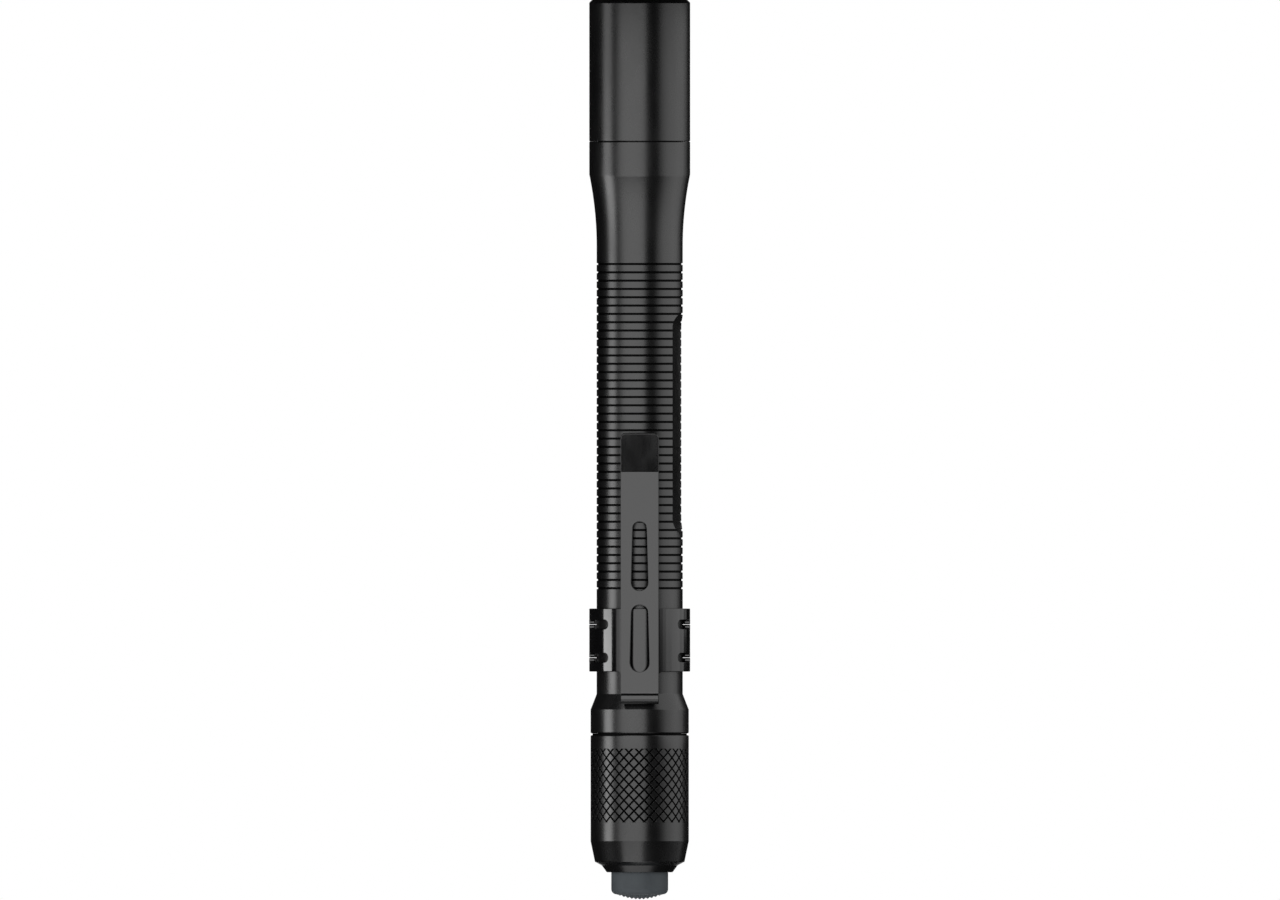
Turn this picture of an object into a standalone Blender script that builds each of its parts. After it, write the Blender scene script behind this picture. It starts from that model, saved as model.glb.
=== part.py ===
"""Pen-type inspection light for two AAA cells: focusing head, grooved barrel, pocket clip,
knurled tail cap and push button. It stands on its bezel, head down, with the tail up (+Z)
and the pocket clip toward -Y. Lengths are in metres."""

import bpy
import bmesh
from math import atan2, cos, floor, pi, radians, sin, sqrt, tan
from mathutils import Vector

MM = 0.001

# Clearances
FACE_GAP = 0.30 * MM          # between pieces that touch or run on each other
RING_GAP = 0.15 * MM          # round an O-ring
MERGE = 0.00001               # merge distance of the turned shapes

# Facets
SEG_BODY = 32
SEG_INNER = 24
SEG_SMALL = 16

# Focusing head
HEAD_R = 7.67 * MM            # sleeve and neck
SLEEVE_LENGTH = 21.6 * MM
SLEEVE_WALL = 0.62 * MM
BEZEL_FILLET = 0.8 * MM
BEZEL_LIP = 1.2 * MM          # thickness of the lip in front of the lens
APERTURE_R = 5.6 * MM
GASKET_T = 0.6 * MM
GASKET_WIDTH = 1.05 * MM
LENS_FLANGE_T = 1.2 * MM
LENS_DOME_R = 5.1 * MM
LENS_DOME_H = 1.6 * MM
LENS_RING_T = 2.0 * MM
LENS_RING_WIDTH = 1.45 * MM
FOCUS_TRAVEL = 4.0 * MM

# Cells
CELL_R = 5.05 * MM
CAN_LENGTH = 43.1 * MM
CELL_CAP_H = 1.0 * MM
CELL_CAP_R = 1.9 * MM
CELL_CAP_BRIM_R = 3.4 * MM
CELL_CAP_BRIM_T = 0.3 * MM
CAN_CRIMP = 0.35 * MM

# Front of the barrel, inside the head
NOSE_LENGTH = 11.9 * MM
NOSE_R = 6.25 * MM
NOSE_COLLAR_T = 1.5 * MM
ORING_D = 0.5 * MM

# Light engine
LED_RECESS = 1.0 * MM         # from the nose's front face to the top of the dome
LED_DOME_R = 1.4 * MM
LED_BASE_SIDE = 3.4 * MM
LED_BASE_T = 0.7 * MM
LED_BOARD_T = 1.0 * MM
HEAT_SINK_LENGTH = 6.0 * MM
HEAT_SINK_FLOOR = 2.5 * MM
HEAT_SINK_WALL = 0.85 * MM
DRIVER_T = 1.0 * MM
INSULATOR_LENGTH = 2.6 * MM
CONTACT_R = 2.1 * MM
CONTACT_STANDS_OUT = 1.4 * MM

# Barrel
BARREL_R = 6.525 * MM
NECK_STRAIGHT = 5.0 * MM      # neck at the head's diameter
NECK_TAPER = 11.0 * MM
EDGE = 0.2 * MM               # rounded edges at both parting lines
GROOVE_START = 2.64 * MM      # from the end of the taper to the first groove
GROOVE_PITCH = 1.2655 * MM
GROOVE_DEPTH = 0.2 * MM
GROOVE_WIDTH = 0.34 * MM
GROOVE_CLEAR = 3.0 * MM       # smooth part left before the clip band
FLAT_DIST = 5.8 * MM          # from the axis to the milled flat
FLAT_FROM_TAPER = 12.3 * MM   # from the end of the taper to the flat's straight run
FLAT_RUN = 28.9 * MM
FLAT_END_R = 3.5 * MM
FLAT_TURN = radians(12.7)     # the flat's normal, from -X toward the clip side
CELLS_STAND_OUT = 3.8 * MM    # cells past the rear parting line
COLLAR_R = 7.44 * MM          # rear collar and tail cap
COLLAR_LENGTH = 3.64 * MM
CONE_LENGTH = 2.36 * MM
REAR_NECK_R = 6.35 * MM
REAR_NECK_CHAMFER = 0.4 * MM
TAIL_ORING_FROM = 1.3 * MM    # ring's centre from the rear parting line

# Pocket clip
CLIP_T = 0.85 * MM
CLIP_WIDTH = 5.8 * MM
BEND_R = 1.5 * MM             # outside of the U-bend
BEND_FROM_JOINT = 6.0 * MM    # bend's centre from the rear parting line
BAND_LENGTH = 9.6 * MM
BAND_TO_BEND = 3.4 * MM
BAND_OPENING = 6.4 * MM       # gap of the band at the back
SLIT_WIDTH = 0.45 * MM        # slits round the back of the band
BAND_SLOT_H = 1.45 * MM       # slots at its front
BAND_SLOT_FROM_END = 2.15 * MM
BAND_SLOT_NEAR = 4.85 * MM    # round end of the slots at the +X side, from the axis
BAND_SLOT_FAR = 5.84 * MM     # and at the -X side
ARM_REACH = 33.9 * MM         # from the bend's centre to where the arm meets the barrel
TIP_LENGTH = 5.8 * MM
TIP_FLARE = radians(8.5)
TIP_CORNER = 0.75 * MM
SLOT_A_FROM = 3.3 * MM        # near slot, from the bend's centre to its end
SLOT_A_LENGTH = 10.2 * MM
SLOT_A_W1 = 2.95 * MM
SLOT_A_W2 = 2.55 * MM
SLOT_GAP = 2.16 * MM
SLOT_B_LENGTH = 10.5 * MM
SLOT_B_W1 = 2.58 * MM
SLOT_B_W2 = 2.13 * MM

# Tail cap
CAP_LENGTH = 20.8 * MM
CAP_STRAIGHT = 16.2 * MM
CAP_CONE = 3.0 * MM
CAP_CONE_R = 6.81 * MM
CAP_STEP = 0.57 * MM
CAP_STEP_R = 5.75 * MM
CAP_FACE_R = 5.0 * MM
CAP_END_WALL = 2.8 * MM
SWITCH_R = 6.0 * MM
SWITCH_LENGTH = 5.1 * MM
SWITCH_FLOOR = 0.6 * MM
PLUNGER_R = 2.0 * MM
PLUNGER_LENGTH = 5.4 * MM
SWITCH_RING_T = 1.3 * MM
SWITCH_RING_WIDTH = 2.8 * MM
SWITCH_CONTACT_R = 2.4 * MM
SWITCH_CONTACT_T = 0.8 * MM
RING_TO_NECK = 0.9 * MM

# Push button
BUTTON_R = 4.29 * MM
BUTTON_TRAVEL = 1.5 * MM
BUTTON_LIP = 1.0 * MM
BUTTON_LIP_WIDTH = 1.1 * MM
BUTTON_STANDS_OUT = 4.1 * MM  # past the cap's end face
BUTTON_DOME_H = 0.75 * MM
BUTTON_EDGE_R = 0.8 * MM
BUTTON_RECESS = 1.2 * MM

# Tail spring
SPRING_WIRE = 0.5 * MM
SPRING_R = 1.95 * MM          # to the wire's centre
SPRING_TURNS = 4
SPRING_POINTS = 10            # a turn

# Stations along the axis, from the bezel's front face
SLEEVE_BORE_R = HEAD_R - SLEEVE_WALL
GUIDE_BORE_R = NOSE_R + FACE_GAP
NECK_Z = SLEEVE_LENGTH + FACE_GAP
NOSE_Z = NECK_Z - NOSE_LENGTH
NOSE_COLLAR_R = SLEEVE_BORE_R - FACE_GAP
SHOULDER_Z = NOSE_Z + NOSE_COLLAR_T + FOCUS_TRAVEL + FACE_GAP
GASKET_Z = BEZEL_LIP + FACE_GAP
LENS_Z = GASKET_Z + GASKET_T + FACE_GAP
LENS_RING_Z = LENS_Z + LENS_FLANGE_T + FACE_GAP
BORE_R = CELL_R + FACE_GAP
STACK_R = BORE_R - FACE_GAP
NOSE_ORING_Z = SHOULDER_Z + FACE_GAP + RING_GAP + ORING_D / 2
LED_Z = NOSE_Z + LED_RECESS
LED_BASE_Z = LED_Z + LED_DOME_R
LED_BOARD_Z = LED_BASE_Z + LED_BASE_T + FACE_GAP
HEAT_SINK_Z = LED_BOARD_Z + LED_BOARD_T + FACE_GAP
DRIVER_Z = HEAT_SINK_Z + HEAT_SINK_LENGTH + FACE_GAP
INSULATOR_Z = DRIVER_Z + DRIVER_T + FACE_GAP
CONTACT_END_Z = INSULATOR_Z + INSULATOR_LENGTH + CONTACT_STANDS_OUT
CELL_PITCH = CELL_CAP_H + FACE_GAP + CAN_LENGTH + FACE_GAP
CELL_1_Z = CONTACT_END_Z + FACE_GAP
CELL_2_Z = CELL_1_Z + CELL_PITCH
CELLS_END_Z = CELL_2_Z + CELL_PITCH - FACE_GAP
JOINT_Z = CELLS_END_Z - CELLS_STAND_OUT
TAPER_Z = NECK_Z + NECK_STRAIGHT
BARREL_Z = TAPER_Z + NECK_TAPER
COLLAR_Z = JOINT_Z - COLLAR_LENGTH
CONE_Z = COLLAR_Z - CONE_LENGTH
TAIL_ORING_Z = JOINT_Z + TAIL_ORING_FROM
BEND_Z = JOINT_Z - BEND_FROM_JOINT
BAND_END_Z = BEND_Z - BAND_TO_BEND
BAND_Z = BAND_END_Z - BAND_LENGTH
BAND_IN_R = BARREL_R + FACE_GAP
BAND_OUT_R = BAND_IN_R + CLIP_T
BEND_CENTRE_R = BAND_IN_R + BEND_R
ARM_END_Z = BEND_Z - ARM_REACH
CAP_Z = JOINT_Z + FACE_GAP
CAP_END_Z = CAP_Z + CAP_LENGTH
WALL_Z = CAP_END_Z - CAP_END_WALL
LIP_Z = WALL_Z - FACE_GAP - BUTTON_LIP
SWITCH_END_Z = LIP_Z - BUTTON_TRAVEL - FACE_GAP
SWITCH_Z = SWITCH_END_Z - SWITCH_LENGTH
SWITCH_RING_Z = SWITCH_Z - FACE_GAP - SWITCH_RING_T
REAR_NECK_END_Z = SWITCH_RING_Z - RING_TO_NECK
SWITCH_CONTACT_Z = SWITCH_Z - FACE_GAP - SWITCH_CONTACT_T
PLUNGER_Z = SWITCH_Z + SWITCH_FLOOR + FACE_GAP + BUTTON_TRAVEL
BUTTON_END_Z = CAP_END_Z + BUTTON_STANDS_OUT
THREAD_BORE_R = REAR_NECK_R + FACE_GAP
SWITCH_BORE_R = SWITCH_R + FACE_GAP
SPRING_Z = CELLS_END_Z + FACE_GAP
SPRING_END_Z = SWITCH_CONTACT_Z - FACE_GAP

# The origin is under the middle of the whole light, so its axis lies a little behind it
AXIS_Y = (BEND_CENTRE_R + BEND_R - HEAD_R) / 2

for old in list(bpy.data.objects):
    bpy.data.objects.remove(old, do_unlink=True)

PARTS = bpy.data.collections.new("inspection_light")
CUTTERS = bpy.data.collections.new("inspection_light_cutters")
bpy.context.scene.collection.children.link(PARTS)
bpy.context.scene.collection.children.link(CUTTERS)
PLACES = {}


def material(name, colour, roughness, metallic, transmission=0.0):
    """One Principled material."""
    mat = bpy.data.materials.new(name)
    mat.use_nodes = True
    shader = mat.node_tree.nodes["Principled BSDF"]
    shader.inputs["Base Color"].default_value = (*colour, 1.0)
    shader.inputs["Roughness"].default_value = roughness
    shader.inputs["Metallic"].default_value = metallic
    shader.inputs["Transmission Weight"].default_value = transmission
    mat.diffuse_color = (*colour, 1.0)
    return mat


def pivot(name, parent, y, z):
    """An empty on a joint's axis, at a distance y from the light's own axis."""
    empty = bpy.data.objects.new(name, None)
    empty.empty_display_size = 5 * MM
    PARTS.objects.link(empty)
    place(empty, parent, 0, y, z)
    return empty


def place(obj, parent, x, y, z):
    """Put an object at a point given from the light's axis, under its parent."""
    base = PLACES[parent.name] if parent else Vector((0, -AXIS_Y, 0))
    obj.parent = parent
    obj.location = Vector((x, y, z)) - base
    PLACES[obj.name] = Vector((x, y, z))
    return obj


def smooth(mesh):
    """Shade round faces smooth and keep real edges sharp."""
    mesh.shade_smooth()
    mesh.set_sharp_from_angle(angle=radians(32))


def baked(obj):
    """The object's evaluated mesh, as a mesh of its own."""
    bpy.context.view_layer.update()
    graph = bpy.context.evaluated_depsgraph_get()
    mesh = bpy.data.meshes.new_from_object(obj.evaluated_get(graph))
    mesh.name = obj.name
    return mesh


def settle(obj):
    """Replace an object's modifiers by the mesh that they make."""
    mesh = baked(obj)
    obj.modifiers.clear()
    obj.data = mesh
    smooth(mesh)
    return obj


def add(name, mesh, mat, parent, x, y, z):
    """A named piece with its material, in the parts' collection."""
    obj = bpy.data.objects.new(name, mesh)
    mesh.materials.append(mat)
    PARTS.objects.link(obj)
    return place(obj, parent, x, y, z)


def turned(name, profile, segments, mat, parent, z, solid=False):
    """A turned piece. The profile's (radius, height) points run down its outer side."""
    mesh = bpy.data.meshes.new(name)
    verts = [(r, 0, h) for r, h in profile]
    edges = [(i, i + 1) for i in range(len(verts) - 1)]
    if not solid:
        edges.append((len(verts) - 1, 0))
    mesh.from_pydata(verts, edges, [])
    obj = add(name, mesh, mat, parent, 0, 0, z)
    screw = obj.modifiers.new("Turn", 'SCREW')
    screw.axis = 'Z'
    screw.angle = 2 * pi
    screw.steps = segments
    screw.render_steps = segments
    screw.use_merge_vertices = True
    screw.merge_threshold = MERGE
    screw.use_smooth_shade = True
    return obj


def ring(name, r_in, r_out, height, segments, mat, parent, z, edge=0.0):
    """A plain turned ring, its outer edges broken if an edge is given."""
    outer = [(r_out, height), (r_out, 0)]
    if edge:
        outer = [(r_out - edge, height), (r_out, height - edge), (r_out, edge), (r_out - edge, 0)]
    return turned(name, outer + [(r_in, 0), (r_in, height)], segments, mat, parent, z)


def oring(name, r_mid, mat, parent, z):
    """An O-ring, a small circle turned round the axis."""
    steps = 8
    circle = []
    for i in range(steps):
        a = pi / 2 - 2 * pi * i / steps
        circle.append((r_mid + ORING_D / 2 * cos(a), ORING_D / 2 * sin(a)))
    return turned(name, circle, SEG_BODY, mat, parent, z)


def hide_cutter(obj):
    """Keep a cutter out of the model."""
    for coll in list(obj.users_collection):
        coll.objects.unlink(obj)
    CUTTERS.objects.link(obj)
    obj.hide_render = True
    obj.display_type = 'WIRE'
    return obj


def box_cutter(name, size, centre, turn=0.0):
    """A box cutter, its centre given from the light's axis."""
    mesh = bpy.data.meshes.new(name)
    bm = bmesh.new()
    bmesh.ops.create_cube(bm, size=1.0)
    bmesh.ops.scale(bm, vec=Vector(size), verts=bm.verts)
    bm.to_mesh(mesh)
    bm.free()
    obj = bpy.data.objects.new(name, mesh)
    PARTS.objects.link(obj)
    obj.location = Vector(centre) + Vector((0, AXIS_Y, 0))
    obj.rotation_euler = (0, 0, turn)
    return hide_cutter(obj)


def outline_cutter(name, points, thickness, centre, upright=False):
    """A flat outline given a thickness, lying level or standing upright across the axis."""
    curve = bpy.data.curves.new(name, 'CURVE')
    curve.dimensions = '2D'
    curve.fill_mode = 'BOTH'
    curve.extrude = thickness / 2
    spline = curve.splines.new('POLY')
    spline.points.add(len(points) - 1)
    for point, (u, v) in zip(spline.points, points):
        point.co = (u, v, 0, 1)
    spline.use_cyclic_u = True
    shape = bpy.data.objects.new(name, curve)
    PARTS.objects.link(shape)
    shape.location = Vector(centre) + Vector((0, AXIS_Y, 0))
    shape.rotation_euler = (pi / 2 if upright else 0, 0, 0)
    mesh = baked(shape)
    bm = bmesh.new()
    bm.from_mesh(mesh)
    bmesh.ops.remove_doubles(bm, verts=bm.verts, dist=MERGE / 10)
    bmesh.ops.recalc_face_normals(bm, faces=bm.faces)
    bm.to_mesh(mesh)
    bm.free()
    obj = bpy.data.objects.new(name + "_cut", mesh)
    PARTS.objects.link(obj)
    obj.matrix_world = shape.matrix_world.copy()
    bpy.data.objects.remove(shape, do_unlink=True)
    return hide_cutter(obj)


def cut(obj, cutter):
    """Take a cutter's shape out of a piece."""
    mod = obj.modifiers.new("Cut", 'BOOLEAN')
    mod.operation = 'DIFFERENCE'
    mod.object = cutter
    mod.solver = 'EXACT'


def capsule(r1, r2, length, steps=6):
    """Outline of two circles and their tangents; the second circle lies along +v."""
    span = length - r1 - r2
    lean = atan2(r1 - r2, sqrt(max(span * span - (r1 - r2) ** 2, 1e-12)))
    points = []
    for i in range(steps + 1):
        a = lean + (pi - 2 * lean) * i / steps
        points.append((r2 * cos(a), length - r2 + r2 * sin(a)))
    for i in range(steps + 1):
        a = pi - lean + (pi + 2 * lean) * i / steps
        points.append((r1 * cos(a), r1 + r1 * sin(a)))
    return points


BLACK = material("black_anodised_aluminium", (0.018, 0.018, 0.02), 0.36, 0.85)
SPRING_STEEL = material("black_coated_spring_steel", (0.022, 0.022, 0.024), 0.33, 0.8)
RUBBER = material("grey_rubber", (0.06, 0.075, 0.085), 0.6, 0.0)
SEAL = material("black_nitrile", (0.01, 0.01, 0.01), 0.6, 0.0)
GLASS = material("clear_acrylic", (0.95, 0.97, 0.98), 0.03, 0.0, 1.0)
BRASS = material("brass", (0.72, 0.52, 0.22), 0.3, 1.0)
ALUMINIUM = material("bare_aluminium", (0.75, 0.75, 0.76), 0.35, 1.0)
LED_WHITE = material("led_package", (0.9, 0.86, 0.55), 0.25, 0.0)
BOARD_WHITE = material("white_board", (0.85, 0.85, 0.85), 0.45, 0.0)
BOARD_GREEN = material("green_board", (0.03, 0.2, 0.07), 0.45, 0.0)
PLASTIC = material("black_plastic", (0.02, 0.02, 0.02), 0.5, 0.0)
SWITCH_GREY = material("grey_plastic", (0.3, 0.3, 0.3), 0.5, 0.0)
CELL_JACKET = material("cell_jacket", (0.08, 0.1, 0.12), 0.35, 0.3)
NICKEL = material("nickel_plated_steel", (0.62, 0.62, 0.6), 0.25, 1.0)

# Joint axes: the tree runs from the head to the tail button
HEAD = pivot("focus_head_pivot", None, 0, 0)
BARREL = pivot("focus_slide_pivot", HEAD, 0, NECK_Z)
CLIP = pivot("clip_flex_pivot", BARREL, -BEND_CENTRE_R, BEND_Z)
CARRIAGE = pivot("cap_travel_pivot", BARREL, 0, CAP_Z)
CAP = pivot("cap_turn_pivot", CARRIAGE, 0, CAP_Z)
BUTTON = pivot("button_press_pivot", CAP, 0, LIP_Z)


def round_corner(r_edge, z_edge, radius, steps=3):
    """Points of a quarter round at a turned piece's lower outer edge, from its side inward."""
    points = []
    for i in range(steps + 1):
        a = pi / 2 * i / steps
        points.append((r_edge - radius + radius * cos(a), z_edge + radius - radius * sin(a)))
    return points


def make_head():
    """Sleeve with the bezel lip, the wide bore for the nose collar and the guide bore."""
    sleeve = [(GUIDE_BORE_R, SLEEVE_LENGTH), (HEAD_R - EDGE, SLEEVE_LENGTH),
              (HEAD_R, SLEEVE_LENGTH - EDGE)]
    sleeve += round_corner(HEAD_R, 0, BEZEL_FILLET)
    sleeve += [(APERTURE_R, 0), (APERTURE_R, BEZEL_LIP), (SLEEVE_BORE_R, BEZEL_LIP),
               (SLEEVE_BORE_R, SHOULDER_Z), (GUIDE_BORE_R, SHOULDER_Z)]
    turned("focus_sleeve", sleeve, SEG_BODY, BLACK, HEAD, 0)
    seat_r = SLEEVE_BORE_R - FACE_GAP
    ring("bezel_gasket", seat_r - GASKET_WIDTH, seat_r, GASKET_T, SEG_BODY, SEAL, HEAD, GASKET_Z)
    ball = (LENS_DOME_R ** 2 + LENS_DOME_H ** 2) / (2 * LENS_DOME_H)
    lens = [(0, LENS_FLANGE_T), (seat_r, LENS_FLANGE_T), (seat_r, 0)]
    steps = 6
    sweep = atan2(LENS_DOME_R, ball - LENS_DOME_H)
    for i in range(steps, -1, -1):
        a = sweep * i / steps
        lens.append((ball * sin(a), ball - LENS_DOME_H - ball * cos(a)))
    lens[-1] = (0, -LENS_DOME_H)
    turned("focus_lens", lens, SEG_BODY, GLASS, HEAD, LENS_Z, solid=True)
    ring("lens_retaining_ring", seat_r - LENS_RING_WIDTH, seat_r, LENS_RING_T, SEG_BODY,
         BRASS, HEAD, LENS_RING_Z, EDGE)


def groove_heights():
    """Heights of the grip's grooves."""
    first = BARREL_Z + GROOVE_START
    count = floor((BAND_Z - GROOVE_CLEAR - first) / GROOVE_PITCH) + 1
    return [first + i * GROOVE_PITCH for i in range(count)]


def make_barrel():
    """Barrel: rear neck, collar and cone, grooved grip, tapered neck and nose."""
    tail_floor = THREAD_BORE_R - 2 * RING_GAP - ORING_D
    nose_floor = GUIDE_BORE_R - 2 * RING_GAP - ORING_D
    half = ORING_D / 2 + RING_GAP
    side = [(REAR_NECK_R - REAR_NECK_CHAMFER, REAR_NECK_END_Z),
            (REAR_NECK_R, REAR_NECK_END_Z - REAR_NECK_CHAMFER),
            (REAR_NECK_R, TAIL_ORING_Z + half), (tail_floor, TAIL_ORING_Z + half),
            (tail_floor, TAIL_ORING_Z - half), (REAR_NECK_R, TAIL_ORING_Z - half),
            (REAR_NECK_R, JOINT_Z), (COLLAR_R - EDGE, JOINT_Z), (COLLAR_R, JOINT_Z - EDGE),
            (COLLAR_R, COLLAR_Z), (BARREL_R, CONE_Z)]
    for h in reversed(groove_heights()):
        side.append((BARREL_R, h + GROOVE_WIDTH / 2))
        side.append((BARREL_R - GROOVE_DEPTH, h))
        side.append((BARREL_R, h - GROOVE_WIDTH / 2))
    steps = 8
    for i in range(steps + 1):
        t = 1 - i / steps
        side.append((BARREL_R + (HEAD_R - BARREL_R) * (1 - t) ** 2, TAPER_Z + NECK_TAPER * t))
    side += [(HEAD_R, NECK_Z + EDGE), (HEAD_R - EDGE, NECK_Z), (NOSE_R, NECK_Z),
             (NOSE_R, NOSE_ORING_Z + half), (nose_floor, NOSE_ORING_Z + half),
             (nose_floor, NOSE_ORING_Z - half), (NOSE_R, NOSE_ORING_Z - half),
             (NOSE_R, NOSE_Z + NOSE_COLLAR_T), (NOSE_COLLAR_R, NOSE_Z + NOSE_COLLAR_T),
             (NOSE_COLLAR_R, NOSE_Z + EDGE), (NOSE_COLLAR_R - EDGE, NOSE_Z),
             (BORE_R, NOSE_Z), (BORE_R, REAR_NECK_END_Z)]
    side = [(r, h - NECK_Z) for r, h in side]
    tube = turned("barrel_tube", side, SEG_BODY, BLACK, BARREL, NECK_Z)

    # Milled flat with cutter run-outs at both ends
    deep = 2 * FLAT_END_R
    mesh = bpy.data.meshes.new("flat_cutter")
    bm = bmesh.new()
    bmesh.ops.create_cube(bm, size=1.0)
    size = Vector((deep, 2 * BARREL_R, FLAT_RUN + 2 * FLAT_END_R))
    bmesh.ops.scale(bm, vec=size, verts=bm.verts)
    ends = [e for e in bm.edges
            if all(v.co.x > 0 for v in e.verts) and abs(e.verts[0].co.y - e.verts[1].co.y) > MM]
    bmesh.ops.bevel(bm, geom=ends, offset=FLAT_END_R, segments=5, profile=0.5, affect='EDGES')
    bm.to_mesh(mesh)
    bm.free()
    flat = bpy.data.objects.new("flat_cutter", mesh)
    PARTS.objects.link(flat)
    reach = FLAT_DIST + deep / 2
    mid = BARREL_Z + FLAT_FROM_TAPER + FLAT_RUN / 2
    flat.location = (-reach * cos(FLAT_TURN), AXIS_Y - reach * sin(FLAT_TURN), mid)
    flat.rotation_euler = (0, 0, FLAT_TURN)
    cut(tube, hide_cutter(flat))
    settle(tube)
    oring("nose_oring", GUIDE_BORE_R - RING_GAP - ORING_D / 2, SEAL, BARREL, NOSE_ORING_Z)
    oring("tail_oring", THREAD_BORE_R - RING_GAP - ORING_D / 2, SEAL, BARREL, TAIL_ORING_Z)


def make_light_engine():
    """LED, its board, holder, driver and front contact, stacked in the barrel's bore."""
    steps = 5
    half = LED_BASE_SIDE / 2
    mesh = bpy.data.meshes.new("led_emitter")
    bm = bmesh.new()
    bmesh.ops.create_cube(bm, size=1.0)
    bmesh.ops.scale(bm, vec=Vector((2 * half, 2 * half, LED_BASE_T)), verts=bm.verts)
    bmesh.ops.translate(bm, vec=Vector((0, 0, LED_BASE_T / 2)), verts=bm.verts)
    bm.to_mesh(mesh)
    bm.free()
    base = add("led_emitter", mesh, LED_WHITE, BARREL, 0, 0, LED_BASE_Z)
    dome = [(0, LED_BASE_T / 2), (LED_DOME_R, LED_BASE_T / 2)]
    for i in range(steps + 1):
        a = pi / 2 * i / steps
        dome.append((LED_DOME_R * cos(a), -LED_DOME_R * sin(a)))
    dome[-1] = (0, -LED_DOME_R)
    ball = turned("led_dome_form", dome, SEG_SMALL, LED_WHITE, BARREL, LED_BASE_Z, solid=True)
    bpy.context.view_layer.update()
    hide_cutter(ball)
    join = base.modifiers.new("Dome", 'BOOLEAN')
    join.operation = 'UNION'
    join.object = ball
    join.solver = 'EXACT'
    settle(base)
    ring("led_board", 0.5 * MM, STACK_R, LED_BOARD_T, SEG_INNER, BOARD_WHITE, BARREL, LED_BOARD_Z)
    wall_r = STACK_R - HEAT_SINK_WALL
    sink = [(wall_r, HEAT_SINK_LENGTH), (STACK_R, HEAT_SINK_LENGTH), (STACK_R, 0), (0, 0)]
    sink = [(0, HEAT_SINK_FLOOR), (wall_r, HEAT_SINK_FLOOR)] + sink
    turned("led_heat_sink", sink, SEG_INNER, ALUMINIUM, BARREL, HEAT_SINK_Z, solid=True)
    disc = [(0, DRIVER_T), (STACK_R, DRIVER_T), (STACK_R, 0), (0, 0)]
    turned("driver_board", disc, SEG_INNER, BOARD_GREEN, BARREL, DRIVER_Z, solid=True)
    ring("contact_insulator", CONTACT_R + FACE_GAP, STACK_R, INSULATOR_LENGTH, SEG_INNER,
         PLASTIC, BARREL, INSULATOR_Z)
    long = CONTACT_END_Z - INSULATOR_Z
    pin = [(0, long), (CONTACT_R - EDGE, long), (CONTACT_R, long - EDGE), (CONTACT_R, 0), (0, 0)]
    turned("positive_contact", pin, SEG_SMALL, NICKEL, BARREL, INSULATOR_Z, solid=True)


def make_cell(name, z):
    """One AAA cell: its positive cap toward the head, then the can."""
    cap = [(0, CELL_CAP_H), (CELL_CAP_BRIM_R, CELL_CAP_H),
           (CELL_CAP_BRIM_R, CELL_CAP_H - CELL_CAP_BRIM_T),
           (CELL_CAP_R, CELL_CAP_H - CELL_CAP_BRIM_T), (CELL_CAP_R, 0), (0, 0)]
    turned(name + "_cap", cap, SEG_SMALL, NICKEL, BARREL, z, solid=True)
    can = [(0, CAN_LENGTH), (CELL_R - CAN_CRIMP, CAN_LENGTH), (CELL_R, CAN_LENGTH - CAN_CRIMP),
           (CELL_R, CAN_CRIMP), (CELL_R - CAN_CRIMP, 0), (0, 0)]
    turned(name + "_can", can, SEG_INNER, CELL_JACKET, BARREL, z + CELL_CAP_H + FACE_GAP,
           solid=True)


def make_clip_band():
    """Split band round the barrel with its slits, and the short leg toward the bend."""
    leg_end = BEND_Z - FACE_GAP
    height = leg_end - BAND_Z
    band = ring("clip_band", BAND_IN_R, BAND_OUT_R, height, SEG_BODY, SPRING_STEEL, BARREL, BAND_Z)
    far = 2 * BAND_OUT_R
    above = leg_end - BAND_END_Z + CLIP_T
    top_z = BAND_END_Z + above / 2
    side_x = CLIP_WIDTH / 2 + far / 2
    cut(band, box_cutter("band_gap", (BAND_OPENING, far, 2 * height), (0, far / 2, BAND_Z)))
    cut(band, box_cutter("leg_side_a", (far, 2 * far, above), (-side_x, 0, top_z)))
    cut(band, box_cutter("leg_side_b", (far, 2 * far, above), (side_x, 0, top_z)))
    cut(band, box_cutter("leg_back", (2 * far, far, above), (0, far / 2, top_z)))
    front = BAND_OUT_R + CLIP_T
    for index, slot_z in enumerate((BAND_Z + BAND_SLOT_FROM_END,
                                    BAND_END_Z - BAND_SLOT_FROM_END)):
        for hand, near in ((1, BAND_SLOT_NEAR), (-1, BAND_SLOT_FAR)):
            label = "band_slot_%d_%s" % (index, "a" if hand > 0 else "b")
            half = BAND_SLOT_H / 2
            path = [(far, half), (near + half, half)]
            for i in range(1, 6):
                a = pi / 2 + pi * i / 6
                path.append((near + half + half * cos(a), half * sin(a)))
            path += [(near + half, -half), (far, -half)]
            path = [(hand * u, v) for u, v in path]
            cut(band, outline_cutter(label, path, front, (0, -front / 2, slot_z), True))
            back = [(0, 0), (hand * far, 0), (hand * far, far), (0, far)]
            cut(band, outline_cutter(label + "_slit", back, SLIT_WIDTH, (0, -CLIP_T, slot_z)))
    settle(band)


def arm_path():
    """Middle line of the clip's sheet, as (distance from the axis, height) points."""
    mid_r = BEND_R - CLIP_T / 2
    touch_r = BARREL_R + FACE_GAP + CLIP_T / 2
    lean = atan2(BEND_CENTRE_R + mid_r - touch_r, ARM_REACH)
    path = []
    steps = 8
    for i in range(steps + 1):
        a = -pi / 2 + (pi + lean) * i / steps
        path.append((BEND_CENTRE_R + mid_r * sin(a), BEND_Z + mid_r * cos(a)))
    path.append((touch_r, ARM_END_Z))
    path.append((touch_r + TIP_LENGTH * tan(TIP_FLARE), ARM_END_Z - TIP_LENGTH))
    return path


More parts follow.
